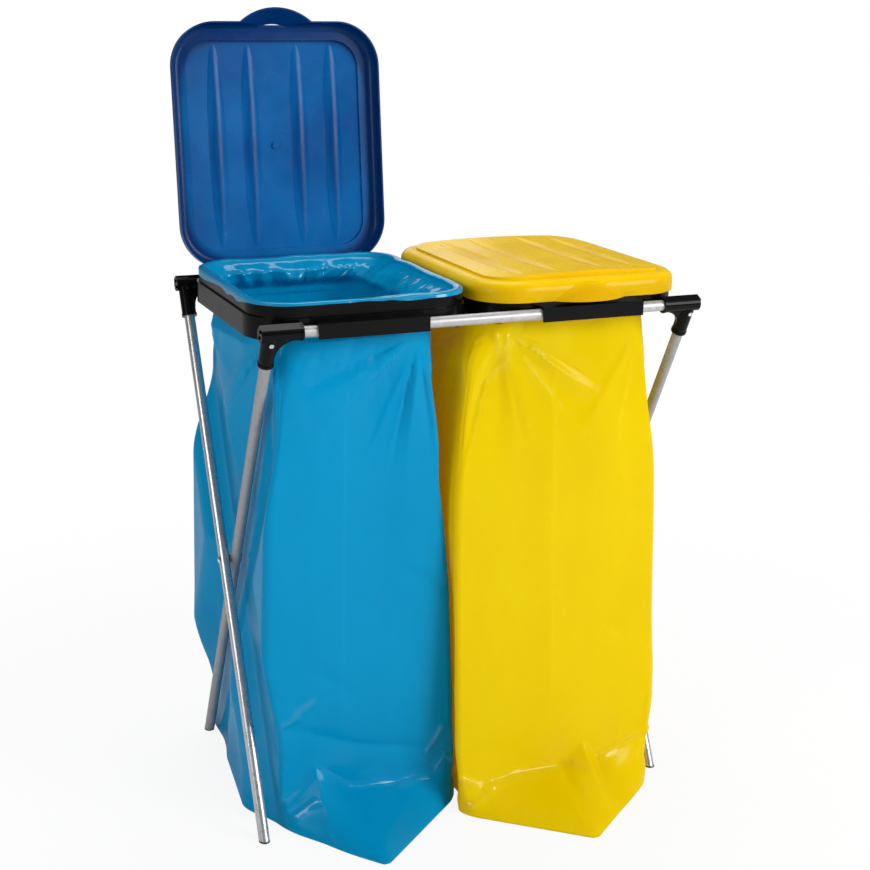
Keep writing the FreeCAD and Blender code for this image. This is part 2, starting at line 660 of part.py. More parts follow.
def film_line(level, side, reach, half_depth, corner, ear=0.0, shift=0.0, fold=0.0, bulge=(0.0, 0.0)):
    """One closed line round a sack: a rounded rectangle with ears, folds and a bulge past the legs."""
    left, right = reach if side == "left" else reach[::-1]
    ends = ((right, -half_depth), (right, half_depth), (-left, half_depth), (-left, -half_depth))
    points = []
    for turn, (x, y) in enumerate(ends):
        centre = Vector(x - math.copysign(corner, x), y - math.copysign(corner, y), level)
        for count in range(ARC_STEPS + 1):
            angle = math.radians(90 * (turn - 1 + count / ARC_STEPS))
            points.append(centre + Vector(math.cos(angle), math.sin(angle), 0) * corner)
        x, y = ends[(turn + 1) % 4]
        angle = math.radians(90 * turn)
        end = Vector(x - math.copysign(corner, x), y - math.copysign(corner, y), level)
        end += Vector(math.cos(angle), math.sin(angle), 0) * corner
        start = points[-1]
        for count in range(1, SIDE_STEPS):
            points.append(start + (end - start) * (count / SIDE_STEPS))
    line = []
    for count, point in enumerate(points):
        inward = Vector(-point.x, -point.y, 0).normalize()
        across = abs(point.x) / (right if point.x > 0 else left)
        moved = point + inward * (fold if count % 2 else 0.0)
        point_out = ear * min(1.0, max(0.0, 1 - across) / (1 - size.ear_tip_share))
        moved += Vector(0, math.copysign(point_out, point.y) + shift, 0)
        if point.x * SIDES[side] > 0:
            rear = min(1.0, max(0.0, 0.5 + moved.y / size.bulge_run / 3))
            out = (bulge[0] * (1 - rear) + bulge[1] * rear) * across ** 2
            moved.x += SIDES[side] * out * clear_of_legs(moved.y, level)
        line.append(moved)
    return line


def film_lines(side, inset):
    """The sack's lines from the floor up to the rim, set in by the film for its inside."""
    gap = size.body_gap
    mouth_width = size.ring_width / 2 - size.ledge_step - size.rim_width - gap
    mouth_depth = size.ring_depth / 2 - size.ledge_step - size.rim_width - gap
    mouth_corner = size.ring_corner - size.ledge_step - size.rim_width - gap
    middle = (size.ring_front_gap - size.ring_rear_gap) / 2
    base_depth = (size.sack_flat_width - size.sack_base_width) / 2
    skirt = size.top_height - size.ring_drop
    rise = size.ear_height
    levels = [size.sack_floor_gap, 0.1 * rise, 0.5 * rise, rise]
    levels += [rise + (skirt - rise) * share for share in SACK_SHARES]
    if side == "left":
        inner, bulges = size.sack_left_reach, (size.left_front_bulge, size.left_rear_bulge)
    else:
        inner, bulges = size.sack_right_reach, (size.right_front_bulge, size.right_rear_bulge)
    lines = []
    for level in levels:
        share = level / skirt
        outer = size.sack_leg_reach
        if side == "left":
            into = inner - size.sack_left_gather * share ** 1.5
        else:
            into = inner
            outer -= size.sack_right_gather * min(1.0, max(0.0, (share - 0.8) / 0.15))
        height = level + inset if level == size.sack_floor_gap else level
        fade = min(1.0, max(0.0, (0.92 - share) / 0.07))
        lines.append(film_line(
            height, side, (outer - inset, into - inset),
            mouth_depth + (base_depth - mouth_depth) * (1 - share) - inset,
            size.sack_corner + (mouth_corner - size.sack_corner) * share ** 0.35 - inset / 2,
            max(0.0, size.sack_base_width / 2 - 2 * inset) * max(0.0, 1 - level / rise) ** 1.35,
            middle - (SIDES[side] * size.sack_shift + middle) * (1 - share),
            size.fold_depth * share ** 3, [fade * out for out in bulges]))
    for level, fold in ((skirt, size.fold_depth / 2),
                        (size.top_height + size.rim_height + gap + inset, 0.0)):
        lines.append(film_line(level, side, (mouth_width - inset, mouth_width - inset),
                               mouth_depth - inset, mouth_corner - inset / 2, shift=middle, fold=fold))
    return lines


def collar_line(level, side, out):
    """A line round the outside of the rim, with its corners large enough for their chords to clear."""
    corner = size.ring_corner - size.ledge_step + out
    line = film_line(level, side, (size.ring_width / 2 - size.ledge_step + out,) * 2,
                     size.ring_depth / 2 - size.ledge_step + out, corner,
                     shift=(size.ring_front_gap - size.ring_rear_gap) / 2)
    swell = corner / math.cos(math.pi / 4 / ARC_STEPS) - corner
    for count, point in enumerate(line):
        turn, step = divmod(count, ARC_STEPS + SIDE_STEPS)
        if step <= ARC_STEPS:
            angle = math.radians(90 * (turn - 1 + step / ARC_STEPS))
            line[count] = point + Vector(math.cos(angle), math.sin(angle), 0) * swell
    return line


def sack(side):
    """A film sack: a box bottom with ears, hung inside the ring and turned over its rim."""
    gap = size.body_gap
    film = size.film_thickness
    rim = size.top_height + size.rim_height
    lines = film_lines(side, 0.0)
    lines += [collar_line(rim + gap, side, gap), collar_line(rim - size.film_collar, side, gap),
              collar_line(rim - size.film_collar, side, gap + film),
              collar_line(rim + gap + film, side, gap + film)]
    inside = len(lines)
    lines += reversed(film_lines(side, film))
    facets = []
    for row, (low, high) in enumerate(zip(lines, lines[1:])):
        for count in range(len(low)):
            following = (count + 1) % len(low)
            if row < inside:
                facets.append((low[count], low[following], high[following]))
                facets.append((low[count], high[following], high[count]))
            else:
                facets.append((low[count], low[following], high[count]))
                facets.append((low[following], high[following], high[count]))
    for line, turned in ((lines[0], True), (lines[-1], False)):
        centre = sum(line, Vector()) * (1 / len(line))
        for count in range(len(line)):
            pair = (line[(count + 1) % len(line)], line[count])
            facets.append((centre,) + (pair if turned else pair[::-1]))
    film_shape = Part.Shape()
    film_shape.makeShapeFromMesh(Mesh.Mesh([list(facet) for facet in facets]).Topology, 0.001)
    name = "sack_" + side
    item = doc.addObject("Part::Feature", name)
    item.Shape = Part.makeSolid(film_shape)
    finish(item, name, Placement(Vector(SIDES[side] * ring_offset, 0, 0), UPRIGHT))


for frame in FRAMES:
    top_tube(frame)
    for side in SIDES:
        leg(frame, side)
        elbow(frame, side)
        elbow_screw(frame, side)
        foot(frame, side)
for side in SIDES:
    pivot(side)
    ring(side)
    lid_pin(side)
    lid(side)
    sack(side)

doc.recompute()
for item in doc.Objects:
    if "Invalid" in item.State or "Error" in item.State:
        raise ValueError(item.Name + " did not build")
for item in SUB_PARTS:
    if item.Shape.isNull() or not item.Shape.isValid() or len(item.Shape.Solids) != 1:
        raise ValueError(item.Label + " is not one valid solid")
for item in SUB_PARTS:
    item.Shape.exportStep("parts/%s.step" % item.Label)
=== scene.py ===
# The stand on a pale floor, seen from a little above and from its left front, in a studio: a wide
# soft light at the front right, weaker ones at the left and overhead, a faint one behind and a
# white surround.
import math

import bmesh
import bpy
import numpy as np
from mathutils import Matrix, Vector


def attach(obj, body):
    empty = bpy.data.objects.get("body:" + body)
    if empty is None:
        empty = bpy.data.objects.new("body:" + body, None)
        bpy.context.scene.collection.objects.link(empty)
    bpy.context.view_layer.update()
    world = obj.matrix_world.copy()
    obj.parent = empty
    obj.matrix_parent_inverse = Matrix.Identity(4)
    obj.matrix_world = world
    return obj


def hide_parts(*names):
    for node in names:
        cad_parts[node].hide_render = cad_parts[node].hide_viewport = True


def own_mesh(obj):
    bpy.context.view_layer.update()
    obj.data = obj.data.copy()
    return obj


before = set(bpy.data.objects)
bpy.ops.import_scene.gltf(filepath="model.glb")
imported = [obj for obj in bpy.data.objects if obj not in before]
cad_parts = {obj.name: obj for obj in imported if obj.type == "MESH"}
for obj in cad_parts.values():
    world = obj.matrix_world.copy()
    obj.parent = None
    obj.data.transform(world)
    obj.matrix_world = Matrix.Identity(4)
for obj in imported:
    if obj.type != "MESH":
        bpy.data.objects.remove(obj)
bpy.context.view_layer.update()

view_azimuth = math.radians(-22.36)
view_elevation = math.radians(16.08)
view_roll = math.radians(0.70)
view_middle = Vector((-0.02485, 0.0, 0.67084))
view_distance = 3.001
picture_side = 870.0
focal_length = 1563.88
picture_centre = (417.29, 432.24)
back = Vector((math.sin(view_azimuth) * math.cos(view_elevation),
               -math.cos(view_azimuth) * math.cos(view_elevation), math.sin(view_elevation)))
across = Vector((math.cos(view_azimuth), math.sin(view_azimuth), 0.0))
upward = back.cross(across)
right = across * math.cos(view_roll) + upward * math.sin(view_roll)
above = upward * math.cos(view_roll) - across * math.sin(view_roll)
camera = bpy.data.objects.new("studio_camera", bpy.data.cameras.new("studio_camera"))
bpy.context.collection.objects.link(camera)
turn = Matrix((right, above, back)).transposed().to_4x4()
camera.matrix_world = Matrix.Translation(view_middle + back * view_distance) @ turn
camera.data.sensor_width = 36.0
camera.data.lens = camera.data.sensor_width * focal_length / picture_side
camera.data.shift_x = (picture_side / 2 - picture_centre[0]) / picture_side
camera.data.shift_y = (picture_centre[1] - picture_side / 2) / picture_side
camera.data.clip_end = 60.0
bpy.context.scene.camera = camera
bpy.context.scene.view_settings.view_transform = "Standard"


def studio_light(name, place, aim, size, watts):
    """A square soft box that faces the stand."""
    lamp = bpy.data.lights.new(name, "AREA")
    lamp.size = size
    lamp.energy = watts
    box = bpy.data.objects.new(name, lamp)
    bpy.context.collection.objects.link(box)
    direction = Vector(aim) - Vector(place)
    box.matrix_world = (Matrix.Translation(Vector(place))
                        @ direction.to_track_quat("-Z", "Y").to_matrix().to_4x4())
    return box


studio_light("key_soft_box", (2.7, -3.4, 2.5), (0.0, 0.0, 0.6), 2.2, 150.0)
studio_light("left_soft_box", (-3.6, -1.6, 1.9), (-0.1, 0.0, 0.6), 1.6, 34.0)
studio_light("top_soft_box", (0.2, 0.9, 3.4), (0.0, 0.0, 0.9), 1.8, 40.0)
rear_box = studio_light("rear_soft_box", (0.7, 3.0, 2.1), (0.0, 0.0, 0.9), 1.5, 7.0)
rear_box.visible_camera = False



def white_light(nodes, kind, strength):
    """A node that gives off plain white."""
    source = nodes.new(kind)
    source.inputs["Color"].default_value = (1.0, 1.0, 1.0, 1.0)
    source.inputs["Strength"].default_value = strength
    return source


surround = bpy.data.worlds.new("white_surround")
bpy.context.scene.world = surround
surround.use_nodes = True
nodes = surround.node_tree.nodes
links = surround.node_tree.links
nodes.clear()
seen_by = nodes.new("ShaderNodeLightPath")
mirrored_grey = white_light(nodes, "ShaderNodeBackground", 0.16)
seen_white = white_light(nodes, "ShaderNodeBackground", 1.0)
fill_white = white_light(nodes, "ShaderNodeBackground", 0.42)
glossy_or_fill = nodes.new("ShaderNodeMixShader")
either = nodes.new("ShaderNodeMixShader")
world_out = nodes.new("ShaderNodeOutputWorld")
links.new(seen_by.outputs["Is Glossy Ray"], glossy_or_fill.inputs["Fac"])
links.new(fill_white.outputs[0], glossy_or_fill.inputs[1])
links.new(mirrored_grey.outputs[0], glossy_or_fill.inputs[2])
links.new(seen_by.outputs["Is Camera Ray"], either.inputs["Fac"])
links.new(glossy_or_fill.outputs[0], either.inputs[1])
links.new(seen_white.outputs[0], either.inputs[2])
links.new(either.outputs[0], world_out.inputs["Surface"])

floor_mesh = bmesh.new()
bmesh.ops.create_grid(floor_mesh, x_segments=2, y_segments=2, size=14.0)
floor_data = bpy.data.meshes.new("studio_floor")
floor_mesh.to_mesh(floor_data)
floor_mesh.free()
floor = bpy.data.objects.new("studio_floor", floor_data)
bpy.context.collection.objects.link(floor)
floor_white = bpy.data.materials.new("floor_white")
floor_white.use_nodes = True
nodes = floor_white.node_tree.nodes
links = floor_white.node_tree.links
nodes.clear()
paper = nodes.new("ShaderNodeBsdfDiffuse")
paper.inputs["Color"].default_value = (0.86, 0.86, 0.86, 1.0)
glow = white_light(nodes, "ShaderNodeEmission", 1.0)
seen_by = nodes.new("ShaderNodeLightPath")
where = nodes.new("ShaderNodeTexCoord")
away = nodes.new("ShaderNodeVectorMath")
away.operation = "LENGTH"
fading = nodes.new("ShaderNodeMapRange")
fading.interpolation_type = "SMOOTHSTEP"
fading.inputs["From Min"].default_value = 0.55
fading.inputs["From Max"].default_value = 1.9
fading.inputs["To Min"].default_value = 0.88
fading.inputs["To Max"].default_value = 1.0
links.new(where.outputs["Object"], away.inputs[0])
links.new(away.outputs["Value"], fading.inputs["Value"])
share = nodes.new("ShaderNodeMath")
share.operation = "MULTIPLY"
links.new(fading.outputs["Result"], share.inputs[1])
mixed = nodes.new("ShaderNodeMixShader")
out = nodes.new("ShaderNodeOutputMaterial")
links.new(seen_by.outputs["Is Camera Ray"], share.inputs[0])
links.new(share.outputs[0], mixed.inputs["Fac"])
links.new(paper.outputs[0], mixed.inputs[1])
links.new(glow.outputs[0], mixed.inputs[2])
links.new(mixed.outputs[0], out.inputs["Surface"])
floor_data.materials.append(floor_white)


# Two U frames of drawn aluminium tube, 20 mm across: a top tube and two legs each. Drawing and
# handling leave fine lines along the tube and a cloudy, slightly uneven shine.
def surface(name, colour, metallic, roughness):
    """A plain finish to which each section adds its own grain."""
    finish = bpy.data.materials.new(name)
    finish.use_nodes = True
    shader = finish.node_tree.nodes["Principled BSDF"]
    shader.inputs["Base Color"].default_value = (*colour, 1.0)
    shader.inputs["Metallic"].default_value = metallic
    shader.inputs["Roughness"].default_value = roughness
    return finish, finish.node_tree.nodes, finish.node_tree.links, shader


def stretched_noise(nodes, links, scale, stretch, detail=4.0, roughness=0.6, turn=(0.0, 0.0, 0.0)):
    """Noise on the piece's own coordinates, drawn out along some of its axes."""
    where = nodes.new("ShaderNodeTexCoord")
    drawn = nodes.new("ShaderNodeMapping")
    drawn.inputs["Rotation"].default_value = turn
    drawn.inputs["Scale"].default_value = stretch
    noise = nodes.new("ShaderNodeTexNoise")
    noise.inputs["Scale"].default_value = scale
    noise.inputs["Detail"].default_value = detail
    noise.inputs["Roughness"].default_value = roughness
    links.new(where.outputs["Object"], drawn.inputs["Vector"])
    links.new(drawn.outputs["Vector"], noise.inputs["Vector"])
    return noise


def add_bump(nodes, links, shader, noise, strength, distance):
    """The noise stands up from the surface."""
    bump = nodes.new("ShaderNodeBump")
    bump.inputs["Strength"].default_value = strength
    bump.inputs["Distance"].default_value = distance
    links.new(noise.outputs["Fac"], bump.inputs["Height"])
    links.new(bump.outputs["Normal"], shader.inputs["Normal"])


def spread(nodes, links, noise, shader, socket, low, high, start=0.3, end=0.7):
    """The noise sets a plain value between two limits."""
    span = nodes.new("ShaderNodeMapRange")
    span.inputs["From Min"].default_value = start
    span.inputs["From Max"].default_value = end
    span.inputs["To Min"].default_value = low
    span.inputs["To Max"].default_value = high
    links.new(noise.outputs["Fac"], span.inputs["Value"])
    links.new(span.outputs["Result"], shader.inputs[socket])


def two_tone(nodes, links, noise, shader, dark, light, start=0.35, end=0.65):
    """The noise mixes two shades of the colour."""
    ramp = nodes.new("ShaderNodeValToRGB")
    ramp.color_ramp.elements[0].position = start
    ramp.color_ramp.elements[0].color = (*dark, 1.0)
    ramp.color_ramp.elements[1].position = end
    ramp.color_ramp.elements[1].color = (*light, 1.0)
    links.new(noise.outputs["Fac"], ramp.inputs["Fac"])
    links.new(ramp.outputs["Color"], shader.inputs["Base Color"])


def dress(names, finish):
    """Give CAD pieces their finish."""
    for name in names:
        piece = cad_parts[name]
        piece.data.materials.clear()
        piece.data.materials.append(finish)


def drawn_aluminium(name, along, lean, grey, metallic, dull):
    """Aluminium with fine lines along a tube that leans by an angle."""
    finish, nodes, links, shader = surface(name, (grey, grey, grey), metallic, dull)
    grain = stretched_noise(nodes, links, 420.0, along, detail=3.0, turn=(lean, 0.0, 0.0))
    cloud = stretched_noise(nodes, links, 90.0, (1.0, 1.0, 1.0), detail=6.0, roughness=0.7)
    two_tone(nodes, links, cloud, shader, (grey * 0.86, grey * 0.86, grey * 0.87),
             (grey * 1.08, grey * 1.08, grey * 1.10))
    spread(nodes, links, cloud, shader, "Roughness", dull - 0.07, dull + 0.08)
    add_bump(nodes, links, shader, grain, 0.10, 0.0005)
    return finish


leg_run = 0.476
leg_rise = 0.940
leg_lean = math.atan2(leg_run, leg_rise)
dress(["front_tube", "rear_tube"],
      drawn_aluminium("drawn_aluminium_top", (0.03, 1.0, 1.0), 0.0, 0.52, 0.60, 0.46))
dress(["front_leg_left", "front_leg_right"],
      drawn_aluminium("drawn_aluminium_front_leg", (1.0, 1.0, 0.03), -leg_lean, 0.36, 0.35, 0.50))
dress(["rear_leg_left", "rear_leg_right"],
      drawn_aluminium("drawn_aluminium_rear_leg", (1.0, 1.0, 0.03), leg_lean, 0.62, 0.85, 0.30))


# Each corner is a moulding in black polypropylene with a slight gloss. A zinc-plated screw with
# a cross slot goes through it into the leg.
def at_each_corner(pattern):
    """The names of the four pieces of a kind, one at each end of each side."""
    return [pattern % (end, side) for end in ("front", "rear") for side in ("left", "right")]


black_plastic, nodes, links, shader = surface("elbow_black", (0.003, 0.003, 0.003), 0.0, 0.14)
orange_peel = stretched_noise(nodes, links, 260.0, (1.0, 1.0, 1.0), detail=2.0)
add_bump(nodes, links, shader, orange_peel, 0.10, 0.0004)
flow = stretched_noise(nodes, links, 22.0, (1.0, 1.0, 1.0), detail=3.0)
spread(nodes, links, flow, shader, "Roughness", 0.10, 0.20)
shader.inputs["Specular IOR Level"].default_value = 0.12
dress(at_each_corner("%s_elbow_%s"), black_plastic)

bright_zinc, nodes, links, shader = surface("bright_zinc", (0.78, 0.78, 0.79), 1.0, 0.22)
brushed = stretched_noise(nodes, links, 500.0, (1.0, 1.0, 1.0), detail=2.0)
spread(nodes, links, brushed, shader, "Roughness", 0.16, 0.34)
rivets = ["pivot_%s_%s" % (part, side) for part in ("rivet", "washer") for side in ("left", "right")]
pins = ["lid_pin_left", "lid_pin_right"]
dress(at_each_corner("%s_elbow_screw_%s") + rivets + pins, bright_zinc)

disc_grey, nodes, links, shader = surface("spacer_disc_grey", (0.16, 0.16, 0.17), 0.0, 0.5)
add_bump(nodes, links, shader, stretched_noise(nodes, links, 300.0, (1.0, 1.0, 1.0)), 0.1, 0.0004)
dress(["pivot_spacer_left", "pivot_spacer_right"], disc_grey)


# Black rubber plugs close the leg ends and stand level on the floor. Grit from floors dulls them.
sole_black, nodes, links, shader = surface("foot_sole_black", (0.016, 0.016, 0.016), 0.0, 0.62)
grit = stretched_noise(nodes, links, 380.0, (1.0, 1.0, 1.0), detail=6.0)
two_tone(nodes, links, grit, shader, (0.010, 0.010, 0.010), (0.045, 0.044, 0.042))
add_bump(nodes, links, shader, grit, 0.3, 0.0006)
dress(at_each_corner("%s_foot_%s"), sole_black)


# The two sack frames are one-piece mouldings in near-black polypropylene with a fine spark-eroded
# texture and a patchy, slightly hazy gloss.
ring_black, nodes, links, shader = surface("ring_black", (0.003, 0.003, 0.0035), 0.0, 0.20)
spark = stretched_noise(nodes, links, 900.0, (1.0, 1.0, 1.0), detail=2.0)
add_bump(nodes, links, shader, spark, 0.06, 0.0003)
haze = stretched_noise(nodes, links, 14.0, (1.0, 1.0, 1.0), detail=4.0)
spread(nodes, links, haze, shader, "Roughness", 0.16, 0.26)
shader.inputs["Specular IOR Level"].default_value = 0.14
dress(["ring_left", "ring_right"], ring_black)


# The lids are injection mouldings, blue and yellow, faintly rippled where the plastic froze, with
# painted shade: a darker colour painted at the rim and in the flutes, where shade falls.
# Painted shade in the flutes: where they lie, how they taper, and how far they are darkened.
SQUARENESS = 5.0
FLUTE_OFFSETS = (0.049, 0.118)
FLUTE_HALF_WIDTH = 0.017
FLUTE_TAPER = 0.085
FLUTE_SHARPNESS = 60.0
FLUTE_SHADE_SHARE = 0.50


def worked(nodes, links, operation, first, second=None):
    """One step of arithmetic in a material, on links or plain numbers."""
    step = nodes.new("ShaderNodeMath")
    step.operation = operation
    for place, value in enumerate((first, second)):
        if isinstance(value, float):
            step.inputs[place].default_value = value
        elif value is not None:
            links.new(value, step.inputs[place])
    return step.outputs[0]


def lid_plastic(name, dark, light, painted_shade, roughness, shine, middle, half, length_axis):
    """Plastic with painted shade: colour darkened round the thick curved rim and along the flutes,
    where shade falls.
    """
    finish, nodes, links, shader = surface(name, light, 0.0, roughness)
    ripple = stretched_noise(nodes, links, 26.0, (1.0, 0.6, 1.0), detail=3.0, roughness=0.5)
    tint = stretched_noise(nodes, links, 5.0, (1.0, 1.0, 1.0), detail=3.0)
    two_tone(nodes, links, tint, shader, dark, light)
    spread(nodes, links, ripple, shader, "Roughness", roughness - 0.04, roughness + 0.05)
    add_bump(nodes, links, shader, ripple, 0.05, 0.0006)
    where = nodes.new("ShaderNodeTexCoord")
    parts = nodes.new("ShaderNodeSeparateXYZ")
    links.new(where.outputs["Object"], parts.inputs[0])
    from_middle = []
    powers = []
    for axis, centre, reach in zip(("X", length_axis), middle, half):
        away = worked(nodes, links, "SUBTRACT", parts.outputs[axis], centre)
        from_middle.append(worked(nodes, links, "ABSOLUTE", away))
        share = worked(nodes, links, "DIVIDE", from_middle[-1], reach)
        powers.append(worked(nodes, links, "POWER", share, SQUARENESS))
    beside, along = from_middle
    outer = worked(nodes, links, "POWER", worked(nodes, links, "ADD", *powers), 1.0 / SQUARENESS)
    # Painted shade: a band round the rim is darkened in colour where the curved skirt lies in shade.
    rim = nodes.new("ShaderNodeMapRange")
    rim.interpolation_type = "SMOOTHSTEP"
    rim.inputs["From Min"].default_value = 0.87
    rim.inputs["From Max"].default_value = 0.94
    rim.inputs["To Max"].default_value = 0.90
    links.new(outer, rim.inputs["Value"])
    # Painted shade: the flutes are darkened in colour as if they lay in shade.
    flute_shade = []
    for offset in FLUTE_OFFSETS:
        aside = worked(nodes, links, "ABSOLUTE", worked(nodes, links, "SUBTRACT", beside, offset))
        tapered = worked(nodes, links, "MULTIPLY", along, FLUTE_TAPER)
        lens = worked(nodes, links, "SUBTRACT", FLUTE_HALF_WIDTH, tapered)
        within = worked(nodes, links, "SUBTRACT", lens, aside)
        flute_shade.append(worked(nodes, links, "MULTIPLY", within, FLUTE_SHARPNESS))
    share = worked(nodes, links, "MAXIMUM", worked(nodes, links, "MAXIMUM", *flute_shade), 0.0)
    share = worked(nodes, links, "MINIMUM", share, FLUTE_SHADE_SHARE)
    share = worked(nodes, links, "MAXIMUM", share, rim.outputs["Result"])
    # The painted shade colour is mixed over the rim band and the flutes.
    mixed = nodes.new("ShaderNodeMixRGB")
    mixed.inputs["Color2"].default_value = (*painted_shade, 1.0)
    links.new(share, mixed.inputs["Fac"])
    links.new(shader.inputs["Base Color"].links[0].from_socket, mixed.inputs["Color1"])
    links.new(mixed.outputs["Color"], shader.inputs["Base Color"])
    shader.inputs["Specular IOR Level"].default_value = shine
    return finish


open_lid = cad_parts["lid_left"]
lid_foot = min((open_lid.matrix_world @ Vector(corner)).z for corner in open_lid.bound_box)
# The third colour of each lid is the painted shade for its rim and flutes.
lid_blue = lid_plastic("lid_blue", (0.0, 0.080, 0.29), (0.0, 0.130, 0.40), (0.0, 0.024, 0.13),
                       0.26, 0.13, (-0.208, lid_foot + 0.226), (0.206, 0.226), "Z")
dress(["lid_left"], lid_blue)
lid_yellow = lid_plastic("lid_yellow", (0.76, 0.47, 0.0), (0.83, 0.55, 0.0), (0.62, 0.34, 0.0),
                         0.26, 0.12, (0.208, 0.0), (0.240, 0.262), "Y")
dress(["lid_right"], lid_yellow)


# Each sack is blown polyethylene film, welded across its flat end. Filled with air it stands as a
# box whose bottom corners run out into an ear at the front and at the back, and its mouth is
# gathered into the sack frame and turned over the frame's rim.
FILM_FRONT = 84
FILM_SIDE = 84
FILM_CORNER = 16
SHEET_ROUND = 1.66
RIM_TOP = 0.9846
RING_MIDDLE_Y = -0.0035
GATHER_TOP = 0.915
CROSSING_HEIGHT = 0.4621
LEG_SLOPE = 0.5064
LEG_COSINE = 0.892
LEG_ROOM = 0.038
FOOT_TOP = 0.26
COLLAR_ROWS = 44


def wandering(rows, columns, across_count, up_count, seed):
    """A smooth random field that closes on itself round the sack, from 0 to 1."""
    lattice = np.random.default_rng(seed).random((up_count + 2, across_count))
    x = np.linspace(0.0, across_count, columns, endpoint=False)
    y = np.linspace(0.0, up_count, rows)
    left = np.floor(x).astype(int)
    low = np.minimum(np.floor(y).astype(int), up_count)
    fx = x - left
    fy = y - low
    fx = fx * fx * (3.0 - 2.0 * fx)
    fy = (fy * fy * (3.0 - 2.0 * fy))[:, None]
    a = lattice[low][:, left % across_count]
    b = lattice[low][:, (left + 1) % across_count]
    c = lattice[low + 1][:, left % across_count]
    d = lattice[low + 1][:, (left + 1) % across_count]
    return (a * (1 - fx) + b * fx) * (1 - fy) + (c * (1 - fx) + d * fx) * fy


def creased(field):
    """Sharp ridges along the middle level of a smooth field."""
    return 1.0 - np.abs(2.0 * field - 1.0)


def eased(values, low, high):
    """A smooth step from 0 at the low value to 1 at the high one."""
    t = np.clip((values - low) / (high - low), 0.0, 1.0)
    return t * t * (3.0 - 2.0 * t)


def corner_centre(place, corner):
    """The middle of the arc that rounds one corner of the sack."""
    return np.array([value - math.copysign(corner, value) for value in place])


def film_outline(outer, inner, depth, corner, side):
    """One line round the sack from its front right corner, turning left seen from above."""
    left, right_reach = (outer, inner) if side == "left" else (inner, outer)
    ends = ((right_reach, -depth), (right_reach, depth), (-left, depth), (-left, -depth))
    points = []
    for turn_count, place in enumerate(ends):
        centre = corner_centre(place, corner)
        for count in range(FILM_CORNER):
            angle = math.radians(90.0 * (turn_count - 1 + count / FILM_CORNER))
            points.append(centre + corner * np.array((math.cos(angle), math.sin(angle))))
        ahead = ends[(turn_count + 1) % 4]
        angle = math.radians(90.0 * turn_count)
        outward = np.array((math.cos(angle), math.sin(angle)))
        start = centre + corner * outward
        end = corner_centre(ahead, corner) + corner * outward
        steps = FILM_SIDE if turn_count % 2 == 0 else FILM_FRONT
        for count in range(steps):
            points.append(start + (end - start) * (count / steps))
    return np.array(points)


def facets(across, up, cell, seed):
    """Cones about scattered points: flat faces that meet in sharp creases, like crumpled film."""
    chance = np.random.default_rng(seed)
    low = np.array((across.min(), up.min()))
    high = np.array((across.max(), up.max()))
    count = int(np.prod((high - low) / cell)) + 4
    spots = low + (high - low) * chance.random((count, 2))
    lift = chance.random(count) * cell * 0.5
    nearest = np.full(across.shape, 9.0)
    for (x, y), extra in zip(spots, lift):
        nearest = np.minimum(nearest, np.hypot(across - x, up - y) + extra)
    return np.clip(nearest / cell, 0.0, 1.4)


def fan(across, down, seed, count):
    """Folds that spread downwards from a point, strongest a hand's width below it."""
    angle = np.arctan2(across, np.maximum(down, 1e-4))
    chance = np.random.default_rng(seed)
    bends = np.sort(chance.uniform(-1.2, 1.2, count))
    heights = chance.uniform(-1.0, 1.0, count)
    folds = np.interp(angle, bends, heights)
    distance = np.hypot(across, down)
    return folds * eased(distance, 0.02, 0.08) * (1.0 - eased(distance, 0.10, 0.30)) * (down > 0)


def clear_of_legs(y, z):
    """From 0 beside the crossed legs to 1 well clear of them."""
    reach = (z - CROSSING_HEIGHT) * LEG_SLOPE
    room = np.minimum(np.abs(y - reach), np.abs(y + reach)) * LEG_COSINE - LEG_ROOM
    return eased(room, 0.0, 0.090)


def crease_lines(across, up, lines, width):
    """How near each point is to the nearest of some straight creases, from 0 to 1."""
    near = np.zeros_like(across)
    for (x0, z0), (x1, z1) in lines:
        run = x1 - x0
        rise = z1 - z0
        along = np.clip(((across - x0) * run + (up - z0) * rise) / (run ** 2 + rise ** 2), 0.0, 1.0)
        distance = np.hypot(across - x0 - along * run, up - z0 - along * rise)
        near = np.maximum(near, np.clip(1.0 - distance / width, 0.0, 1.0))
    return near


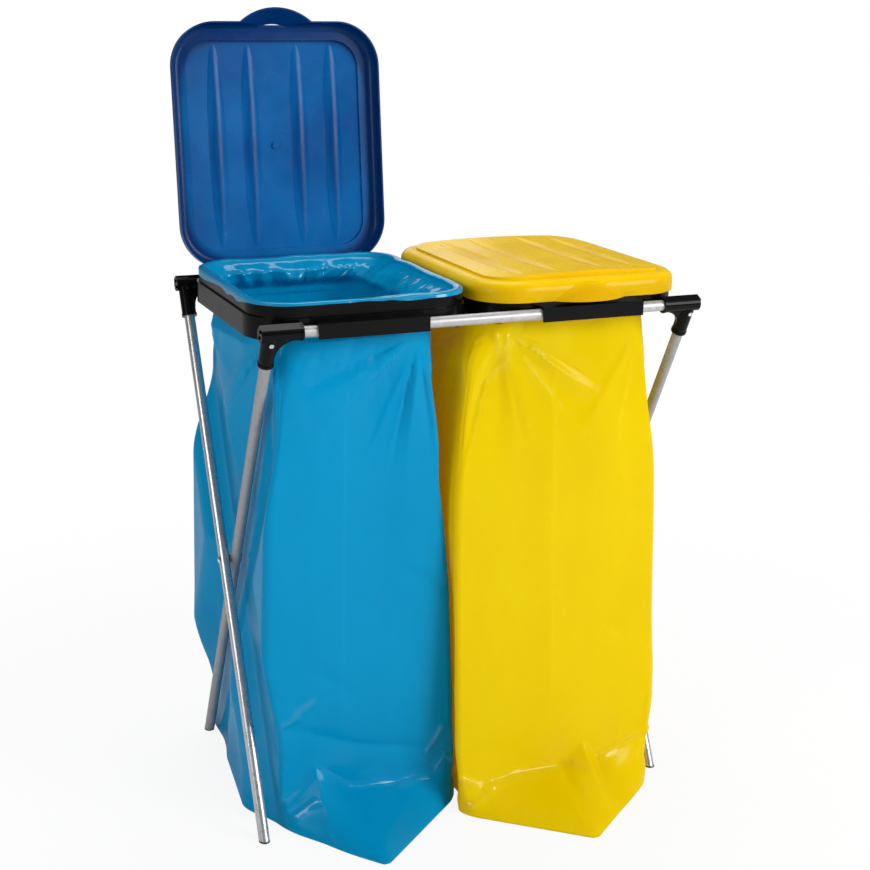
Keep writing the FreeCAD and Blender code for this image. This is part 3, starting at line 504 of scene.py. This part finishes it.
# By height: the reach towards the other sack and away from it, and the outer side's bulge near the
# front and far behind. By place along the front: the height of the fold over the ear. Then the
# gathers under the ring, and the bright creases and hollows of the front.
FILM_FORM = {
    "left": {
        "inner": ((0.0, 0.184), (0.062, 0.184), (0.153, 0.180), (0.334, 0.172), (0.433, 0.166),
                  (0.531, 0.155), (0.628, 0.142), (0.746, 0.136), (0.824, 0.128), (0.930, 0.122),
                  (0.972, 0.164)),
        "outer": ((0.0, 0.165), (0.9, 0.165), (0.95, 0.164)),
        "near": ((0.0, 0.044), (0.30, 0.030), (0.70, 0.022), (0.86, 0.016)),
        "far": ((0.0, 0.012), (0.25, 0.042), (0.70, 0.042), (0.90, 0.042)),
        "ear": 0.184, "tip": -0.024, "crease": -0.044,
        "fold": ((-0.20, 0.060), (-0.150, 0.055), (-0.095, 0.108), (-0.024, 0.055), (0.06, 0.050),
                 (0.135, 0.058), (0.165, 0.090), (0.20, 0.060)),
        "rays": ((-0.150, 13, 0.0040), (0.098, 23, 0.0075)),
        "glints": (((-0.158, 0.205), (-0.128, 0.222)), ((-0.134, 0.228), (-0.100, 0.246)),
                   ((0.130, 0.105), (0.158, 0.150)), ((-0.140, 0.030), (-0.105, 0.060))),
        "hollows": (((-0.150, 0.200), (-0.010, 0.142)), ((-0.010, 0.142), (0.165, 0.100)),
                    ((0.085, 0.470), (0.160, 0.432)), ((-0.085, 0.300), (-0.030, 0.255))),
    },
    "right": {
        "inner": ((0.0, 0.243), (0.05, 0.250), (0.185, 0.252), (0.499, 0.251), (0.607, 0.248),
                  (0.747, 0.236), (0.853, 0.220), (0.915, 0.190), (0.966, 0.164)),
        "outer": ((0.0, 0.150), (0.03, 0.156), (0.162, 0.158), (0.9, 0.140), (0.930, 0.140),
                  (0.972, 0.164)),
        "near": ((0.0, 0.020), (0.10, 0.010), (0.35, 0.011), (0.55, 0.014), (0.80, 0.014)),
        "far": ((0.0, 0.025), (0.80, 0.025)),
        "ear": 0.166, "tip": -0.050, "crease": -0.060,
        "fold": ((-0.26, 0.075), (-0.205, 0.050), (-0.13, 0.060), (-0.04, 0.060), (0.010, 0.098),
                 (0.036, 0.064), (0.10, 0.085), (0.16, 0.100)),
        "rays": ((-0.165, 23, 0.0085), (0.13, 13, 0.0030)),
        "glints": (((-0.176, 0.905), (-0.152, 0.846)), ((-0.152, 0.896), (-0.150, 0.860)),
                   ((-0.150, 0.860), (-0.172, 0.836)), ((-0.235, 0.020), (-0.185, 0.048)),
                   ((-0.036, 0.072), (0.016, 0.064))),
        "hollows": (((0.060, 0.330), (0.100, 0.300)),),
    },
}


def film_shape(side, seed):
    """The places of the film's points, row by row, from the floor to the turned-over hem."""
    form = FILM_FORM[side]
    hand = -1.0 if side == "left" else 1.0
    low = np.linspace(0.0, 1.0, 58) ** 1.1 * 0.18 + 0.001
    body = np.linspace(0.18, 0.88, 92)[1:]
    mouth = np.linspace(0.88, RIM_TOP, 40)[1:]
    levels = np.concatenate((low, body, mouth))
    share = np.minimum(levels, 0.8745) / 0.922
    mouthed = eased(levels, 0.880, 0.960)
    corner = 0.016 + 0.0472 * eased(levels, 0.78, 0.955) + 0.016 * (1.0 - eased(levels, 0.0, 0.06))
    inner, outer, near, far = (np.interp(levels, *zip(*form[key]))
                               for key in ("inner", "outer", "near", "far"))
    inner = inner + 0.33 * corner
    rising = eased(levels, 0.930, 0.975)
    outer = np.minimum(outer + 0.2 * corner, 0.165) * (1.0 - rising) + 0.1852 * rising
    depth = 0.2101 + 0.0289 * (1.0 - share)
    depth = depth * (1.0 - mouthed) + 0.2097 * mouthed
    shift = RING_MIDDLE_Y - (hand * 0.036 + RING_MIDDLE_Y) * (1.0 - share)
    blue_reach = np.interp(levels, *zip(*FILM_FORM["left"]["inner"])) + 0.33 * corner
    grid = []
    for count, level in enumerate(levels):
        line = film_outline(outer[count], inner[count], depth[count], corner[count], side)
        x = line[:, 0]
        own = x * hand > 0
        span = np.where(own, outer[count], inner[count])
        part = np.abs(x) / span
        right_of_tip = x > form["tip"]
        tip_span = np.where(right_of_tip == (hand > 0), outer[count], inner[count])
        tip_span = np.abs(np.where(right_of_tip, tip_span, -tip_span) - form["tip"])
        height = np.where(line[:, 1] < 0, np.interp(x, *zip(*form["fold"])), 0.090)
        rise = np.clip(1.0 - (level - 0.001) / height, 0.0, 1.0)
        pointed = np.clip((1.0 - np.abs(x - form["tip"]) / tip_span) / 0.97, 0.0, 1.0)
        reach = form["ear"] * rise * pointed
        y = line[:, 1] + np.sign(line[:, 1]) * reach + shift[count]
        rear = np.clip(0.5 + y / 0.27, 0.0, 1.0)
        bulge = (near[count] * (1.0 - rear) + far[count] * rear) * part ** 2 * clear_of_legs(y, level)
        bulge *= np.clip((0.950 - level) / 0.06, 0.0, 1.0) * own
        if side == "right":
            dent = max(inner[count] - (0.4145 - blue_reach[count]), 0.0) / inner[count]
            behind = eased(line[:, 1] + depth[count], 0.004, 0.060)
            x = np.where(own, x, x * (1.0 - dent * behind))
        grid.append(np.column_stack((x + hand * bulge, y, np.full(len(line), level))))
    grid = np.array(grid)
    rows_count, columns = grid.shape[:2]
    heights = grid[:, :, 2]
    ahead = np.roll(grid, -1, axis=1) - np.roll(grid, 1, axis=1)
    outward = np.stack((ahead[:, :, 1], -ahead[:, :, 0], np.zeros_like(heights)), axis=2)
    outward /= np.linalg.norm(outward, axis=2, keepdims=True)
    around = np.cumsum(np.full((rows_count, columns), SHEET_ROUND / columns), axis=1)

    long_folds = wandering(rows_count, columns, 13, 3, seed)
    soft = wandering(rows_count, columns, 9, 5, seed + 1)
    pleats = creased(wandering(rows_count, columns, 30, 3, seed + 2)) ** 1.5
    gathers = creased(wandering(rows_count, columns, 84, 5, seed + 3))
    foot_rows = int(np.searchsorted(levels, FOOT_TOP))
    crumple = facets(around[:foot_rows], heights[:foot_rows], 0.105, seed + 4)
    crumple = np.concatenate((crumple, np.repeat(crumple[-1:], rows_count - foot_rows, axis=0)))
    crinkle = facets(around[-COLLAR_ROWS:], heights[-COLLAR_ROWS:] * 1.4, 0.048, seed + 5)
    crinkle = np.concatenate((np.repeat(crinkle[:1], rows_count - COLLAR_ROWS, axis=0), crinkle))
    near_floor = 1.0 - eased(heights, 0.08, 0.24)
    inside = eased(heights, 0.928, 0.950)
    under = eased(heights, 0.72, 0.86) * (1.0 - inside)
    rim = eased(heights, 0.962, 0.984)

    fans = np.zeros_like(heights)
    below = GATHER_TOP - heights
    facing_front = outward[:, :, 1] < -0.6
    for count, (x_corner, folds, strength) in enumerate(form["rays"]):
        rays = fan(grid[:, :, 0] - x_corner, below, seed + 20 + count, folds)
        fans += strength * rays * facing_front
    for count, (x_end, y_end) in enumerate(((-1, -1), (1, -1), (-1, 1), (1, 1))):
        on_side = outward[:, :, 0] * x_end > 0.6
        rays = fan(grid[:, :, 1] - y_end * 0.17 - RING_MIDDLE_Y, below, seed + 30 + count, 13)
        fans += 0.0050 * rays * on_side
    behind = outward[:, :, 1] > 0.6
    fans += 0.0050 * behind * fan(grid[:, :, 0] - 0.13, below, seed + 40, 13)

    line_x = form["crease"] + 0.010 * (heights - 0.3)
    beyond = grid[:, :, 0] - line_x
    sharp_and_soft = np.where(beyond > 0.0, beyond / 0.0035, -beyond / 0.035)
    pressed_line = np.clip(1.0 - sharp_and_soft, 0.0, 1.0) * facing_front
    front_height = np.interp(grid[:, :, 0], *zip(*form["fold"]))
    at_fold = np.clip(1.0 - np.abs(heights - front_height) / 0.010, 0.0, 1.0) * facing_front
    glints = crease_lines(grid[:, :, 0], heights, form["glints"], 0.008) * facing_front
    hollows = crease_lines(grid[:, :, 0], heights, form["hollows"], 0.030) ** 2 * facing_front
    fold_share = eased(wandering(rows_count, columns, 31, 3, seed + 6), 0.25, 0.6)

    push = -0.0055 * long_folds * eased(heights, 0.12, 0.35) * (1.0 - inside)
    push += 0.0040 * (soft - 0.5) * eased(heights, 0.05, 0.14) * (1.0 - inside)
    push += fans
    push -= 0.0022 * pleats * under
    push -= 0.0060 * crumple * near_floor * eased(heights, 0.012, 0.05)
    push += 0.0042 * at_fold + 0.0036 * glints - 0.0040 * hollows
    push += 0.0026 * pressed_line * eased(heights, 0.16, 0.24) * (1.0 - under)
    push -= 0.0120 * inside * long_folds * (1.0 - rim)
    push -= 0.0060 * inside * gathers * (1.0 - 0.9 * rim) * (grid[:, :, 0] > 0.02)
    push -= 0.0090 * inside * pleats * (1.0 - rim)
    push -= 0.0150 * inside * crinkle * (1.0 - 0.85 * rim)
    push *= eased(heights, 0.0, 0.010)
    grid = grid + outward * push[:, :, None]
    pressed = 1.0 - clear_of_legs(grid[:, :, 1], heights)
    limit = 0.1655 + 0.06 * (1.0 - pressed) + 0.03 * eased(heights, 0.925, 0.965)
    grid[:, :, 0] = np.where(grid[:, :, 0] * hand > limit, hand * limit, grid[:, :, 0])
    gloss = (0.10 + 0.22 * near_floor * creased(crumple) ** 3 + 0.85 * at_fold * fold_share
             + 0.9 * glints + 0.60 * inside + 0.04 * under)
    return grid, np.clip(gloss, 0.0, 1.0)


def turned_over_rim(grid, gloss, seed):
    """The film goes over the frame's rim and hangs outside it with a wavy hem."""
    columns = grid.shape[1]
    wave = wandering(3, columns, 26, 2, seed + 7)[1]
    small = wandering(3, columns, 84, 2, seed + 8)[1]
    slow = wandering(3, columns, 40, 2, seed + 9)[1]
    rim_outer = film_outline(0.1984, 0.1984, 0.2229, 0.0764, "left") + np.array((0.0, RING_MIDDLE_Y))
    rim_inner = grid[-1, :, :2]
    fuller = eased(-rim_outer[:, 0], 0.05, 0.17) * (rim_outer[:, 1] > -0.16)
    lines = []
    for share, rise in ((0.12, 0.0012), (0.35, 0.0026), (0.65, 0.0030), (0.88, 0.0018), (1.0, 0.0004)):
        flat = rim_inner + (rim_outer - rim_inner) * share
        height = RIM_TOP + rise * (0.25 + 1.2 * wave + 0.2 * small)
        lines.append(np.column_stack((flat, height)))
    hem = 0.0024 + 0.0052 * wave + 0.0012 * small + fuller * (0.001 + 0.009 * slow)
    ahead = np.roll(rim_outer, -1, axis=0) - np.roll(rim_outer, 1, axis=0)
    normal = np.column_stack((ahead[:, 1], -ahead[:, 0]))
    normal /= np.linalg.norm(normal, axis=1, keepdims=True)
    for share in (0.25, 0.5, 0.75, 1.0):
        out = (0.0002 + 0.0024 * share * slow * (rim_outer[:, 1] < 0.15))[:, None]
        lines.append(np.column_stack((rim_outer + normal * out, RIM_TOP - share * hem)))
    hem_gloss = np.full((len(lines), columns), 0.8)
    return np.concatenate((grid, np.array(lines))), np.concatenate((gloss, hem_gloss))


def film_mesh(name, grid, gloss, middle_x):
    """Pull a ring of film up row by row, and close its flat bottom on the floor."""
    rows_count, columns = grid.shape[:2]
    film = bmesh.new()
    bmesh.ops.create_circle(film, segments=columns, radius=0.2)
    shine = film.verts.layers.float.new("gloss")
    ring = sorted(film.verts, key=lambda v: math.atan2(v.co.y, v.co.x) % math.tau)
    base = grid[0]
    spine = np.column_stack((np.zeros(columns), base[:, 1] * 0.55, np.full(columns, 0.001)))
    start = [spine + (base - spine) * share for share in (0.08, 0.30, 0.55, 0.80, 0.96)]
    lines = start + [grid[count] for count in range(rows_count)]
    shares = [gloss[0]] * len(start) + [gloss[count] for count in range(rows_count)]
    for vertex, place in zip(ring, lines[0]):
        vertex.co = place
    for line, share in zip(lines[1:], shares[1:]):
        edges = [film.edges.get((ring[count], ring[(count + 1) % columns]))
                 for count in range(columns)]
        pulled = bmesh.ops.extrude_edge_only(film, edges=edges)
        fresh = {item for item in pulled["geom"] if isinstance(item, bmesh.types.BMVert)}
        following = []
        for vertex in ring:
            following.append(next(edge.other_vert(vertex) for edge in vertex.link_edges
                                  if edge.other_vert(vertex) in fresh))
        for vertex, place, shown in zip(following, line, share):
            vertex.co = place
            vertex[shine] = shown
        ring = following
    bmesh.ops.holes_fill(film, edges=[edge for edge in film.edges if edge.is_boundary
                                      and edge.verts[0].co.z < 0.01], sides=0)
    bmesh.ops.recalc_face_normals(film, faces=film.faces)
    bmesh.ops.translate(film, verts=film.verts, vec=(middle_x, 0.0, 0.0))
    data = bpy.data.meshes.new(name)
    film.to_mesh(data)
    film.free()
    for polygon in data.polygons:
        polygon.use_smooth = True
    piece = bpy.data.objects.new(name, data)
    bpy.context.collection.objects.link(piece)
    return piece


def sack_film(name, dark, light, shade, clear):
    """Thin film that lets some light through and shines where its gloss says so."""
    finish, nodes, links, shader = surface(name, light, 0.0, 0.22)
    slow = stretched_noise(nodes, links, 6.0, (1.0, 1.0, 0.35), detail=4.0)
    crumple = stretched_noise(nodes, links, 46.0, (1.0, 1.0, 0.55), detail=6.0, roughness=0.62)
    two_tone(nodes, links, slow, shader, dark, light, 0.3, 0.7)
    add_bump(nodes, links, shader, crumple, 0.12, 0.0012)
    shine = nodes.new("ShaderNodeAttribute")
    shine.attribute_name = "gloss"
    spread(nodes, links, shine, shader, "Coat Weight", 0.0, 1.0, 0.08, 0.8)
    shader.inputs["Coat Roughness"].default_value = 0.07
    shader.inputs["Specular IOR Level"].default_value = 0.09
    spread(nodes, links, slow, shader, "Roughness", 0.16, 0.28)
    through = nodes.new("ShaderNodeBsdfTranslucent")
    through.inputs["Color"].default_value = (*shade, 1.0)
    mix = nodes.new("ShaderNodeMixShader")
    mix.inputs["Fac"].default_value = clear
    out = nodes["Material Output"]
    links.new(shader.outputs[0], mix.inputs[1])
    links.new(through.outputs[0], mix.inputs[2])
    links.new(mix.outputs[0], out.inputs["Surface"])
    return finish


for side, colour, middle_x, seed, dark, light, shade, clear in (
        ("left", "blue", -0.208, 11, (0.0, 0.300, 0.58), (0.0, 0.345, 0.65), (0.0, 0.36, 0.70),
         0.24),
        ("right", "yellow", 0.208, 29, (0.91, 0.715, 0.0), (0.97, 0.79, 0.0), (1.0, 0.62, 0.0),
         0.36)):
    places, gloss = film_shape(side, seed)
    places, gloss = turned_over_rim(places, gloss, seed)
    film = film_mesh("film_sack_" + colour, places, gloss, middle_x)
    film.data.materials.append(sack_film("film_" + colour, dark, light, shade, clear))
    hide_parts("sack_" + side)
    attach(film, "ring_body_" + side)
    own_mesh(film)
